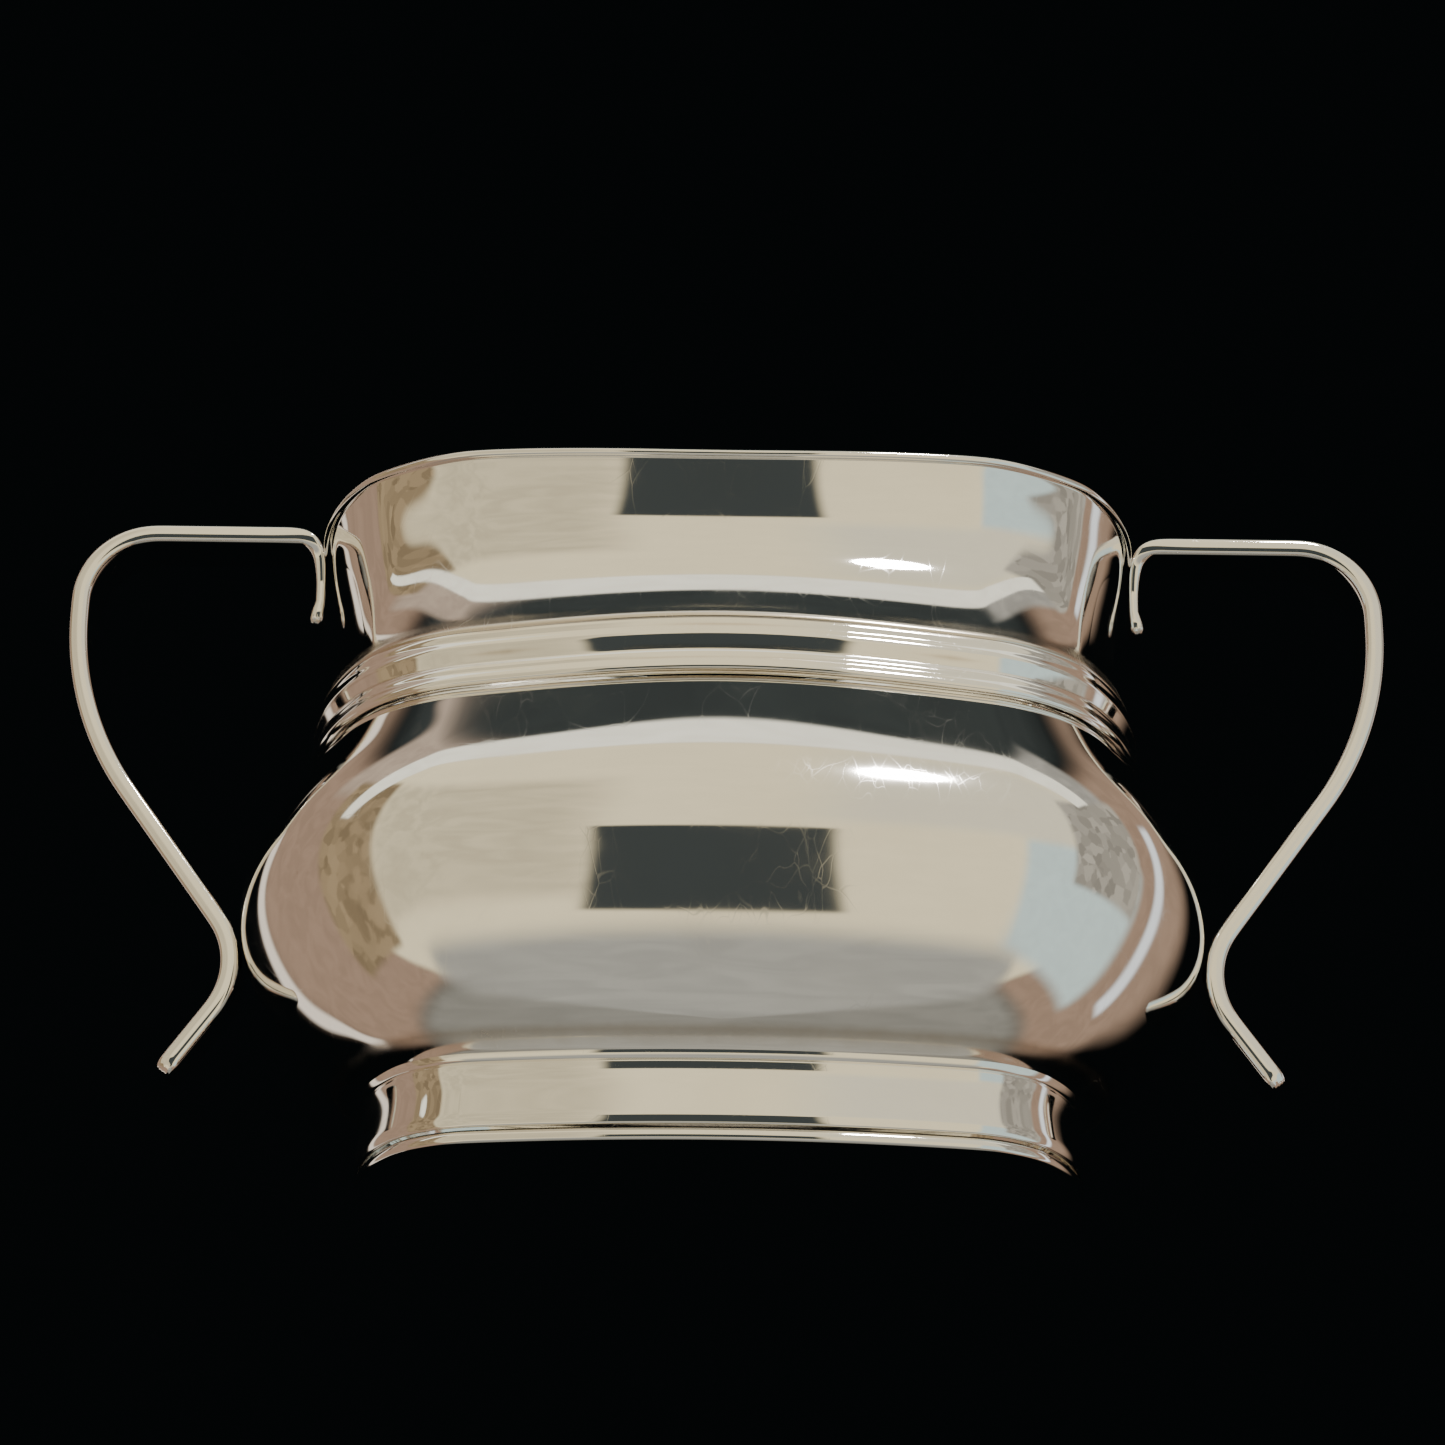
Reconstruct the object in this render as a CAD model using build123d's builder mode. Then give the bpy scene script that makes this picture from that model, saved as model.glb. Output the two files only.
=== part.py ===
"""A two-handled sugar bowl in polished silver, on a rounded oblong plan.

The bowl stands on z = 0 with its long axis along X and its rest face centred on
the origin. Every round-about piece (foot, body, neck, collar, rim) follows the same
outline: twelve arcs that meet tangentially. A point of a profile is (out, z), where
out is its distance outside the neck's outline, so a piece is its profile carried
once round that outline. Sizes are in millimetres.
"""

import os
from math import acos, atan2, cos, degrees, hypot, sin

from build123d import *

# ---- the outline that the round-about pieces follow, at the neck ----
NECK_HALF_LENGTH = 45.3
NECK_HALF_WIDTH = 33.0
SIDE_RADIUS = 128.0  # the two long sides
END_RADIUS = 42.0  # the two ends
CORNER_RADIUS = 18.0  # the four corners between them

# ---- heights ----
FOOT_WIRE_HEIGHT = 1.8
FOOT_BAND_HEIGHT = 7.2
FOOT_MOULDING_HEIGHT = 2.2
BELLY_RISE = 20.4  # from the foot's top to the widest level of the body
SHOULDER_RISE = 19.8  # from there to the neck
NECK_RING_HEIGHT = 6.8
COLLAR_RISE = 19.7  # from the neck ring to the rim wire, in the middle of a long side
RIM_WIRE_HEIGHT = 1.0
RIM_DIP_RADIUS = 760.0  # the rim dips along this radius towards the middle of each long side

# ---- how far each level stands outside the neck's outline ----
FOOT_BASE_OUT = -3.6
FOOT_WAIST_OUT = -3.9
FOOT_TOP_OUT = -1.0
BELLY_OUT = 11.8
SHOULDER_OUT = 3.4
RING_OUT = 3.7
COLLAR_FOOT_OUT = 4.3
COLLAR_WAIST_OUT = 0.8
RIM_OUT = 4.2

# ---- points between those levels: steps of (out, z) from the nearest one ----
BELLY_LOW_STEP = (-3.2, -10.2)  # under the belly
BELLY_HIGH_STEP = (-3.6, 12.0)  # over the belly, on the shoulder
SHOULDER_END_STEP = (-2.6, 3.1)  # where the shoulder's curve runs on to, past the neck's level
SEAT_STEP = 0.4  # the body at the foot's top, outside the foot
MOULDING_LOW_STEP = -0.9  # the foot moulding's lower edge, from the foot's top
BAND_LOW_STEP = 0.2  # the band's lower edge, from the foot's base
BAND_HIGH_STEP = -1.5  # the band's upper edge, from the foot's top
SHEET_LAP = 0.3  # how far a wall's curve runs past the level that it is cut at
BAND_WAIST_SHARE = 0.58  # the waist's place up the band
COLLAR_LOW_SHARE = 0.32  # places up the collar: below its waist, at it and above it
COLLAR_WAIST_SHARE = 0.52
COLLAR_HIGH_SHARE = 0.7
COLLAR_LOW_STEP = 0.5
COLLAR_HIGH_STEP = 0.4
RIM_STEP = (-0.2, 0.8)  # the collar's curve just over the rim's lowest level
RIM_END_STEP = (0.2, 4.8)  # where that curve runs on to

# ---- sheet and wire ----
BODY_WALL = 0.8
FOOT_WALL = 1.0
COLLAR_WALL = 0.8
RIM_WIRE_WIDTH = 1.5
FOOT_WIRE_WIDTH = 2.0
RING_DEPTH = 1.8
ROLL_BULGE = 0.5  # how far a half-round roll of a moulding stands proud
FLAT_BULGE = 0.1  # how far the flat between the neck's rolls is crowned
FLOOR_DROP = 2.2  # the flat floor's underside, below the foot's top
FLOOR_OUT = -7.0  # where the flat of the floor ends

# ---- handles ----
STRAP_THICKNESS = 2.6
STRAP_WIDTH_TOP = 9.0
STRAP_WIDTH_LOW = 7.2
GRIP_REACH = 22.3  # the middle line's outermost stretch, beyond the body's widest point
GRIP_RISE = 1.9  # the middle line of the level top, above the rim's end
GRIP_BEND_RADIUS = 8.9
RIM_BEND_RADIUS = 2.4
SPUR_DROP = 11.0  # from the level top down to the spur's tip
SPUR_CLEAR = 0.1  # the spur's inner face, beyond the rim's end
SPUR_FLICK = 1.5
SPUR_BEND_RADIUS = 3.0
WAIST_DROP = 23.5  # from the level top down to where the strap turns inwards
WAIST_BEND_RADIUS = 38.0
TOUCH_DROP = 4.4  # where the strap touches the body, below the body's widest level
TOUCH_BEND_RADIUS = 9.5
TAIL_REACH = 8.2  # the tail's tip, beyond the body's widest point
TAIL_DROP = 17.8  # the tail's tip, below the body's widest level
TOUCH_IN = 1.2  # the strap's inner face there, inside the body's widest point

# ---- levels worked out from the sizes above ----
FOOT_MOULDING_Z = FOOT_WIRE_HEIGHT + FOOT_BAND_HEIGHT
FOOT_TOP_Z = FOOT_MOULDING_Z + FOOT_MOULDING_HEIGHT
FLOOR_Z = FOOT_TOP_Z - FLOOR_DROP
BELLY_Z = FOOT_TOP_Z + BELLY_RISE
NECK_Z = BELLY_Z + SHOULDER_RISE
COLLAR_Z = NECK_Z + NECK_RING_HEIGHT
COLLAR_TOP_Z = COLLAR_Z + COLLAR_RISE
BODY_HALF_LENGTH = NECK_HALF_LENGTH + BELLY_OUT
RIM_HALF_LENGTH = NECK_HALF_LENGTH + RIM_OUT
RIM_END_Z = COLLAR_TOP_Z + RIM_WIRE_HEIGHT + RIM_HALF_LENGTH**2 / (2 * RIM_DIP_RADIUS)
CUT_MARGIN = 10.0  # how far a cutting shape runs past what it cuts
WALL_STEPS = 24  # points that carry a wall's curve over to its inner face


def at(out: float, z: float) -> tuple[float, float]:
    """Place a profile point, where the outline crosses the long axis."""
    return (NECK_HALF_LENGTH + out, z)


def outline(out: float = 0.0) -> Wire:
    """Return the closed outline that stands a distance outside the neck's."""
    end_x = NECK_HALF_LENGTH - END_RADIUS
    side_y = NECK_HALF_WIDTH - SIDE_RADIUS
    to_end, to_side = END_RADIUS - CORNER_RADIUS, SIDE_RADIUS - CORNER_RADIUS
    span = hypot(end_x, side_y)
    turn = acos((to_end**2 + span**2 - to_side**2) / (2 * to_end * span))
    end_angle = atan2(side_y, -end_x) + turn
    corner_x, corner_y = end_x + to_end * cos(end_angle), to_end * sin(end_angle)
    side_angle = degrees(atan2(corner_y - side_y, corner_x))
    end_angle = degrees(end_angle)
    with BuildLine() as quarters:
        CenterArc((end_x, 0), END_RADIUS + out, 0, end_angle)
        CenterArc((corner_x, corner_y), CORNER_RADIUS + out, end_angle, side_angle - end_angle)
        CenterArc((0, side_y), SIDE_RADIUS + out, side_angle, 90 - side_angle)
        mirror(about=Plane.YZ)
        mirror(about=Plane.XZ)
    return Wire(quarters.edges())


def wall_profile(points: list, tangents: list, wall: float, low: float, high: float) -> Sketch:
    """Return a sheet wall's profile: a curve and its copy one wall to the left, between two levels."""
    with BuildSketch() as profile:
        with BuildLine():
            outer = Spline(*points, tangents=tangents)
            inside = []
            for step in range(WALL_STEPS + 1):
                along = outer % (step / WALL_STEPS)
                inside.append(outer @ (step / WALL_STEPS) + Vector(-along.Y, along.X) * wall)
            inner = Spline(*inside, tangents=[outer % 0, outer % 1])
            Line(outer @ 0, inner @ 0)
            Line(outer @ 1, inner @ 1)
        make_face()
        with Locations((BODY_HALF_LENGTH / 2, (low + high) / 2)):
            Rectangle(BODY_HALF_LENGTH + CUT_MARGIN, high - low, mode=Mode.INTERSECT)
    return profile.sketch


def roll_profile(low: tuple, high: tuple, depth: float, bulge: float = ROLL_BULGE) -> Sketch:
    """Return a roll's profile: flat towards the bowl, bulging outwards."""
    middle = ((low[0] + high[0]) / 2 + bulge, (low[1] + high[1]) / 2)
    back = min(low[0], high[0]) - depth
    with BuildSketch() as profile:
        with BuildLine():
            ThreePointArc(low, middle, high)
            Polyline(high, (back, high[1]), (back, low[1]), low)
        make_face()
    return profile.sketch


# ---- body: raised sheet, with a flat floor inside the foot ----
BODY_POINTS = [
    at(FLOOR_OUT, FLOOR_Z),
    at(FOOT_TOP_OUT + SEAT_STEP, FOOT_TOP_Z),
    at(BELLY_OUT + BELLY_LOW_STEP[0], BELLY_Z + BELLY_LOW_STEP[1]),
    at(BELLY_OUT, BELLY_Z),
    at(BELLY_OUT + BELLY_HIGH_STEP[0], BELLY_Z + BELLY_HIGH_STEP[1]),
    at(SHOULDER_OUT, NECK_Z),
    at(SHOULDER_OUT + SHOULDER_END_STEP[0], NECK_Z + SHOULDER_END_STEP[1]),
]
BODY_TANGENTS = [(1, 0), (-1, 1.2)]
with BuildPart() as body_shell:
    with BuildSketch(Plane.XZ):
        add(wall_profile(BODY_POINTS, BODY_TANGENTS, BODY_WALL, 0, NECK_Z))
    sweep(path=outline())
    with BuildSketch(Plane.XY.offset(FLOOR_Z)):
        with BuildLine():
            add(outline(FLOOR_OUT))
        make_face()
    extrude(amount=BODY_WALL)

# ---- foot: a collet band between a base wire and a top moulding ----
with BuildPart() as foot_base_wire:
    with BuildSketch(Plane.XZ):
        add(roll_profile(at(FOOT_BASE_OUT, 0), at(FOOT_BASE_OUT, FOOT_WIRE_HEIGHT), FOOT_WIRE_WIDTH))
    sweep(path=outline())

BAND_POINTS = [
    at(FOOT_BASE_OUT + BAND_LOW_STEP, FOOT_WIRE_HEIGHT - SHEET_LAP),
    at(FOOT_WAIST_OUT, FOOT_WIRE_HEIGHT + BAND_WAIST_SHARE * FOOT_BAND_HEIGHT),
    at(FOOT_TOP_OUT + BAND_HIGH_STEP, FOOT_MOULDING_Z + SHEET_LAP),
]
with BuildPart() as foot_band:
    with BuildSketch(Plane.XZ):
        add(wall_profile(BAND_POINTS, [(-0.4, 1), (1, 1)], FOOT_WALL, FOOT_WIRE_HEIGHT, FOOT_MOULDING_Z))
    sweep(path=outline())

BODY_CUT_WALL = FOOT_MOULDING_HEIGHT + BODY_WALL
with BuildPart() as foot_moulding:
    with BuildSketch(Plane.XZ):
        low_edge = at(FOOT_TOP_OUT + MOULDING_LOW_STEP, FOOT_MOULDING_Z)
        add(roll_profile(low_edge, at(FOOT_TOP_OUT + SEAT_STEP, FOOT_TOP_Z), FOOT_WIRE_WIDTH))
        add(wall_profile(BODY_POINTS, BODY_TANGENTS, BODY_CUT_WALL, 0, NECK_Z), mode=Mode.SUBTRACT)
    sweep(path=outline())

# ---- neck: one drawn moulding, two rolls on each side of a flat ----
ROLLS = [(0.3, ROLL_BULGE), (0.1, ROLL_BULGE), (-0.4, FLAT_BULGE), (0.0, ROLL_BULGE), (0.1, ROLL_BULGE)]
ROLL_HEIGHT = NECK_RING_HEIGHT / len(ROLLS)
with BuildPart() as neck_ring:
    with BuildSketch(Plane.XZ):
        for index, (out, bulge) in enumerate(ROLLS):
            low = NECK_Z + index * ROLL_HEIGHT
            low_point, high_point = at(RING_OUT + out, low), at(RING_OUT + out, low + ROLL_HEIGHT)
            add(roll_profile(low_point, high_point, RING_DEPTH + out, bulge))
    sweep(path=outline())

# ---- collar: a flared sheet, its top edge cut to the dip of the rim ----
COLLAR_POINTS = [
    at(COLLAR_FOOT_OUT, COLLAR_Z - SHEET_LAP),
    at(COLLAR_WAIST_OUT + COLLAR_LOW_STEP, COLLAR_Z + COLLAR_LOW_SHARE * COLLAR_RISE),
    at(COLLAR_WAIST_OUT, COLLAR_Z + COLLAR_WAIST_SHARE * COLLAR_RISE),
    at(COLLAR_WAIST_OUT + COLLAR_HIGH_STEP, COLLAR_Z + COLLAR_HIGH_SHARE * COLLAR_RISE),
    at(RIM_OUT + RIM_STEP[0], COLLAR_TOP_Z + RIM_STEP[1]),
    at(RIM_OUT + RIM_END_STEP[0], COLLAR_TOP_Z + RIM_END_STEP[1]),
]
COLLAR_TANGENTS = [(-0.65, 1), (0, 1)]
RIM_PROUD = (RIM_WIRE_WIDTH - COLLAR_WALL) / 2  # the wire stands proud of the sheet on both faces
RIM_POINTS = [(x + RIM_PROUD, z) for x, z in COLLAR_POINTS]
DIP_CENTRE_Z = COLLAR_TOP_Z + RIM_DIP_RADIUS
HEADROOM_Z = COLLAR_TOP_Z + RIM_END_STEP[1] - SHEET_LAP


def dip_cylinder(level: float) -> Solid:
    """Return the cylinder along Y whose underside is the dip of the rim, raised by a level."""
    length = 4 * NECK_HALF_WIDTH
    axis = Plane((0, length / 2, DIP_CENTRE_Z + level), x_dir=(1, 0, 0), z_dir=(0, -1, 0))
    return Solid.make_cylinder(RIM_DIP_RADIUS, length, axis)


with BuildPart() as collar:
    with BuildSketch(Plane.XZ):
        add(wall_profile(COLLAR_POINTS, COLLAR_TANGENTS, COLLAR_WALL, COLLAR_Z, HEADROOM_Z))
    sweep(path=outline())
    add(dip_cylinder(0), mode=Mode.SUBTRACT)

with BuildPart() as rim_wire:
    with BuildSketch(Plane.XZ):
        add(wall_profile(RIM_POINTS, COLLAR_TANGENTS, RIM_WIRE_WIDTH, COLLAR_Z, HEADROOM_Z))
    sweep(path=outline())
    add(dip_cylinder(0), mode=Mode.INTERSECT)
    add(dip_cylinder(RIM_WIRE_HEIGHT), mode=Mode.SUBTRACT)

# ---- handles: bent strap, soldered at the rim's end and at the body's end ----
LEVEL_Z = RIM_END_Z + GRIP_RISE
SPUR_X = RIM_HALF_LENGTH + STRAP_THICKNESS / 2 + SPUR_CLEAR
GRIP_X = BODY_HALF_LENGTH + GRIP_REACH
TOUCH_X = BODY_HALF_LENGTH - TOUCH_IN + STRAP_THICKNESS / 2
TOUCH_Z = BELLY_Z - TOUCH_DROP
TAIL_X = BODY_HALF_LENGTH + TAIL_REACH
TAIL_Z = BELLY_Z - TAIL_DROP


def strap_route() -> Wire:
    """Return the strap's middle line: straight runs joined by tangent arcs, in the plane y = 0."""
    spur_z = LEVEL_Z - SPUR_DROP
    waist_z = LEVEL_Z - WAIST_DROP
    # The lower corner lies nearer the bowl than the touching point, by what its rounding takes off.
    coming_in = atan2(GRIP_X - TOUCH_X, waist_z - TOUCH_Z)
    going_out = atan2(TAIL_X - TOUCH_X, TOUCH_Z - TAIL_Z)
    rounded_off = TOUCH_BEND_RADIUS * (1 / cos((coming_in + going_out) / 2) - 1)
    corners = [
        (SPUR_X + SPUR_FLICK, spur_z),
        (SPUR_X, spur_z + SPUR_FLICK),
        (SPUR_X, LEVEL_Z),
        (GRIP_X, LEVEL_Z),
        (GRIP_X, waist_z),
        (TOUCH_X - rounded_off, TOUCH_Z),
        (TAIL_X, TAIL_Z),
    ]
    radii = [SPUR_BEND_RADIUS, RIM_BEND_RADIUS, GRIP_BEND_RADIUS, WAIST_BEND_RADIUS, TOUCH_BEND_RADIUS]
    with BuildLine() as route:
        FilletPolyline(*corners, radius=radii)
    return route.wire()


def strap_handle(side: int) -> Part:
    """Return one handle; side is 1 for the end at +X and -1 for the end at -X."""
    with BuildPart() as handle:
        with BuildSketch(Plane.XZ):
            trace(strap_route(), line_width=STRAP_THICKNESS)
        extrude(amount=STRAP_WIDTH_TOP / 2, both=True)
        with BuildSketch(Plane.YZ):
            with BuildLine():
                Polyline(
                    (-STRAP_WIDTH_TOP / 2, LEVEL_Z + CUT_MARGIN),
                    (STRAP_WIDTH_TOP / 2, LEVEL_Z + CUT_MARGIN),
                    (STRAP_WIDTH_LOW / 2, 0),
                    (-STRAP_WIDTH_LOW / 2, 0),
                    close=True,
                )
            make_face()
        extrude(amount=GRIP_X + CUT_MARGIN, mode=Mode.INTERSECT)
        for seat in (body_shell, collar, rim_wire):
            add(seat.part, mode=Mode.SUBTRACT)
    return handle.part if side > 0 else handle.part.mirror(Plane.YZ)


PIECES = {
    "body_shell": body_shell.part,
    "foot_base_wire": foot_base_wire.part,
    "foot_band": foot_band.part,
    "foot_moulding": foot_moulding.part,
    "neck_ring": neck_ring.part,
    "collar": collar.part,
    "rim_wire": rim_wire.part,
    "right_handle": strap_handle(1),
    "left_handle": strap_handle(-1),
}

os.makedirs("parts", exist_ok=True)
for name, piece in PIECES.items():
    piece.label = name
    export_step(piece, f"parts/{name}.step")
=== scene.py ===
"""A silver sugar bowl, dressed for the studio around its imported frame.

The bowl stands on z = 0, its long axis along X. Every round-about piece is turned
first, then carried onto the bowl's rounded oblong plan; the two strap handles are
drawn along their own bent line. Lengths are in metres.
"""

import logging
from dataclasses import dataclass, field
from enum import Enum
from math import acos, atan2, cos, exp, hypot, pi, radians, sin, tan
from typing import Callable

import bmesh
import bpy
import numpy as np
from mathutils import Euler, Matrix, Vector


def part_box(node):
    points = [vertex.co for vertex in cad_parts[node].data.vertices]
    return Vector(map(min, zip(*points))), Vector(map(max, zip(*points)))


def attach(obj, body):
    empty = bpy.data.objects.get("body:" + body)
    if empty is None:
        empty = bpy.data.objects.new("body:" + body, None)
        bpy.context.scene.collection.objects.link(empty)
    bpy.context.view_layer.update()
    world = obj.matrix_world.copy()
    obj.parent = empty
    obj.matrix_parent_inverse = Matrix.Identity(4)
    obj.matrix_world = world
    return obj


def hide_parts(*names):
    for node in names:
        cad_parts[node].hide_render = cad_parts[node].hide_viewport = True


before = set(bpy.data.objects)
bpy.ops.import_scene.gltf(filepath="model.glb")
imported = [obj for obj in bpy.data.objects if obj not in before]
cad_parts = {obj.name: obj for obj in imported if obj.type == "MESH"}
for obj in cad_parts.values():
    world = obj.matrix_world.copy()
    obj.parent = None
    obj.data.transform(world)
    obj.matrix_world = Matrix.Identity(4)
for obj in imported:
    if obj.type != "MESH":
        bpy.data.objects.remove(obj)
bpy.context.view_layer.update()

MM = 0.001
FULL_TURN = 2 * pi
BELLY_RISE = 20.4 * MM  # from the foot's top to the body's widest level
MERGE = 1e-7
log = logging.getLogger("sugar_bowl")

Profile = list[tuple[float, float]]
Value = float | tuple[float, ...] | bpy.types.NodeSocket


class Slot(Enum):
    """The names of the record's finishes."""

    BODY = "body_silver"
    COLLAR = "collar_silver"
    FOOT = "foot_silver"
    HANDLE = "handle_silver"
    MOULDING = "moulding_silver"


# ---------------------------------------------------------------- materials


class Bench:
    """A small helper that lays out the nodes of one material or world."""

    def __init__(self, owner: bpy.types.Material | bpy.types.World) -> None:
        """Clear the owner's nodes, to lay them out afresh.

        Args:
            owner: the material or world.
        """
        owner.use_nodes = True
        self.tree = owner.node_tree
        self.tree.nodes.clear()

    def node(self, kind: str, inputs: dict | None = None, **settings) -> bpy.types.Node:
        """Add a node, set its properties, and set or link its inputs.

        Args:
            kind: the node's type name without the ShaderNode prefix.
            inputs: values or output sockets by input name or number.
            settings: properties of the node itself.

        Returns:
            The new node.
        """
        made = self.tree.nodes.new("ShaderNode" + kind)
        for key, value in settings.items():
            setattr(made, key, value)
        for key, value in (inputs or {}).items():
            if isinstance(value, bpy.types.NodeSocket):
                self.tree.links.new(value, made.inputs[key])
            else:
                made.inputs[key].default_value = value
        return made

    def math(
        self, operation: str, first: Value, second: Value = 0.0, clamp: bool = False
    ) -> bpy.types.NodeSocket:
        """Add one Math node.

        Args:
            operation: the node's operation.
            first: its first value.
            second: its second value.
            clamp: whether the result is held between 0 and 1.

        Returns:
            The node's output.
        """
        return self.node("Math", {0: first, 1: second}, operation=operation, use_clamp=clamp).outputs[0]

    def ramp(
        self, value: Value, low: float, high: float, to_low: float = 0.0, to_high: float = 1.0
    ) -> bpy.types.NodeSocket:
        """Carry a value smoothly from one range onto another, held at its ends.

        Args:
            value: the value.
            low: the start of its range.
            high: the end of its range.
            to_low: what the start becomes.
            to_high: what the end becomes.

        Returns:
            The carried value.
        """
        spread = self.node(
            "MapRange",
            {"Value": value, "From Min": low, "From Max": high, "To Min": to_low, "To Max": to_high},
            interpolation_type="SMOOTHSTEP",
        )
        return spread.outputs["Result"]

    def blend(self, share: Value, first: Value, second: Value) -> bpy.types.NodeSocket:
        """Mix one colour towards another.

        Args:
            share: how far, from 0 to 1.
            first: the colour at 0.
            second: the colour at 1.

        Returns:
            The mixed colour.
        """
        mixed = self.node("Mix", {"Factor": share}, data_type="RGBA")
        for name, value in (("A", first), ("B", second)):
            socket = [s for s in mixed.inputs if s.name == name and s.type == "RGBA"][0]
            if isinstance(value, bpy.types.NodeSocket):
                self.tree.links.new(value, socket)
            else:
                socket.default_value = (*value, 1.0)
        return [s for s in mixed.outputs if s.type == "RGBA"][0]

    def within(self, value: Value, low: float, high: float, soft: float) -> bpy.types.NodeSocket:
        """Mask a range of a value.

        Args:
            value: the value.
            low: the range's start.
            high: the range's end.
            soft: the half width of the mask's soft edges.

        Returns:
            1 inside the range and 0 outside it.
        """
        over = self.ramp(value, low - soft, low + soft)
        return self.math("MULTIPLY", over, self.ramp(value, high - soft, high + soft, 1.0, 0.0))


@dataclass(frozen=True)
class PolishedSilver:
    """Sterling silver, polished by hand and handled since.

    The polish is a mirror with a faint long wave in it. Over it lie cleaning
    hairlines, a few pits, a thin haze where fingers and cloth have been, and a
    warm painted shade in the hollows, which also makes them rougher.
    """

    name: str
    colour: tuple[float, float, float] = (0.955, 0.935, 0.900)
    # the warm brown that the hollows' painted shade, the pits and the worn patches darken the silver
    # towards
    shade_and_wear: tuple[float, float, float] = (0.46, 0.36, 0.25)
    roughness: float = 0.035
    haze: float = 0.05
    hairline_share: float = 0.30
    rubbed_share: float = 0.6
    hairline_roughness: float = 0.16
    hairline_height: float = 0.003
    wave: float = 0.10
    wave_height: float = 0.3 * MM
    pit_share: float = 0.5
    pit_height: float = 0.05
    # how far the painted shade darkens the hollows, and the roughness added in the shaded hollows and
    # at pits
    hollow_shade_share: float = 0.5
    hollow_and_pit_roughness: float = 0.30

    def hairlines(
        self, bench: Bench, place: Value, size: float, turn: float, width: float
    ) -> bpy.types.NodeSocket:
        """Lay one set of curved cleaning hairlines.

        Args:
            bench: the material's bench.
            place: the coordinates to read.
            size: how far apart the lines are, in metres.
            turn: how the set is turned, in radians.
            width: the lines' share of that distance.

        Returns:
            A socket that is 1 in a line and 0 beside it.
        """
        turned = bench.node(
            "Mapping",
            {"Vector": place, "Rotation": (turn, 0.7 * turn, 1.3 * turn), "Scale": (1.0, 0.22, 0.5)},
        )
        bent = bench.node(
            "TexNoise", {"Vector": turned.outputs[0], "Scale": 0.35 / size, "Detail": 2.0}
        )
        shifted = bench.node(
            "VectorMath", {0: bent.outputs["Color"], 1: (3.0 * size,) * 3}, operation="MULTIPLY"
        )
        warped = bench.node(
            "VectorMath", {0: turned.outputs[0], 1: shifted.outputs[0]}, operation="ADD"
        )
        cells = bench.node(
            "TexVoronoi", {"Vector": warped.outputs[0], "Scale": 1.0 / size}, feature="DISTANCE_TO_EDGE"
        )
        return bench.ramp(cells.outputs["Distance"], 0.0, width, 1.0, 0.0)

    def material(self) -> bpy.types.Material:
        """Build the finish.

        Returns:
            The finished material.
        """
        silver = bpy.data.materials.new(self.name)
        bench = Bench(silver)
        place = bench.node("TexCoord").outputs["Object"]
        # how deep a point lies in a hollow; it drives the painted shade below
        hollow = bench.node("Attribute", attribute_name="hollow").outputs["Fac"]

        broad = bench.node(
            "TexNoise", {"Vector": place, "Scale": 55.0, "Detail": 4.0, "Roughness": 0.6}
        )
        fine = bench.node("TexNoise", {"Vector": place, "Scale": 420.0, "Detail": 3.0})
        patches = bench.ramp(broad.outputs["Fac"], 0.42, 0.68)

        long_lines = self.hairlines(bench, place, 5.5 * MM, 0.4, 0.012)
        short_lines = self.hairlines(bench, place, 2.3 * MM, 1.9, 0.016)
        rubbed = bench.math("MULTIPLY", short_lines, patches)
        lines = bench.math(
            "MAXIMUM",
            bench.math("MULTIPLY", long_lines, self.hairline_share),
            bench.math("MULTIPLY", rubbed, self.rubbed_share),
        )

        dots = bench.node("TexVoronoi", {"Vector": place, "Scale": 130.0, "Randomness": 1.0})
        chosen = bench.node("SeparateColor", {0: dots.outputs["Color"]}).outputs[0]
        rare = bench.ramp(chosen, 0.86, 0.90)
        near = bench.ramp(dots.outputs["Distance"], 0.02, 0.055, 1.0, 0.0)
        spots = bench.math("MULTIPLY", near, rare)
        pits = bench.math("MULTIPLY", spots, self.pit_share)

        # Painted shade: the hollows darken towards a warm brown, a fine noise breaking its edge; pits
        # and worn patches darken too
        uneven = bench.math("ADD", hollow, bench.math("MULTIPLY", fine.outputs["Fac"], 0.35))
        hollow_shade_mask = bench.ramp(uneven, 0.35, 1.15)
        painted_hollow_shade = bench.math("MULTIPLY", hollow_shade_mask, self.hollow_shade_share, clamp=True)
        worn = bench.math("MULTIPLY", patches, 0.05)
        shade_and_pits = bench.math("MAXIMUM", painted_hollow_shade, bench.math("MULTIPLY", pits, 0.6))
        colour = bench.blend(bench.math("ADD", shade_and_pits, worn, clamp=True), self.colour, self.shade_and_wear)

        rough = bench.math("ADD", bench.math("MULTIPLY", patches, self.haze), self.roughness)
        rough = bench.math("ADD", rough, bench.math("MULTIPLY", lines, self.hairline_roughness))
        dull = bench.math("MULTIPLY", shade_and_pits, self.hollow_and_pit_roughness)
        rough = bench.math("ADD", rough, dull, clamp=True)

        slow = bench.node("TexNoise", {"Vector": place, "Scale": 42.0, "Detail": 1.0, "Roughness": 0.4})
        height = bench.math("MULTIPLY", slow.outputs["Fac"], self.wave)
        height = bench.math("SUBTRACT", height, bench.math("MULTIPLY", lines, self.hairline_height))
        height = bench.math("SUBTRACT", height, bench.math("MULTIPLY", pits, self.pit_height))
        bump = bench.node("Bump", {"Height": height, "Distance": self.wave_height, "Strength": 1.0})

        shader = bench.node(
            "BsdfPrincipled",
            {"Base Color": colour, "Roughness": rough, "Normal": bump.outputs[0], "Metallic": 1.0},
        )
        bench.node("OutputMaterial", {"Surface": shader.outputs[0]})
        return silver


# ---------------------------------------------------------------- shaping


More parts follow.
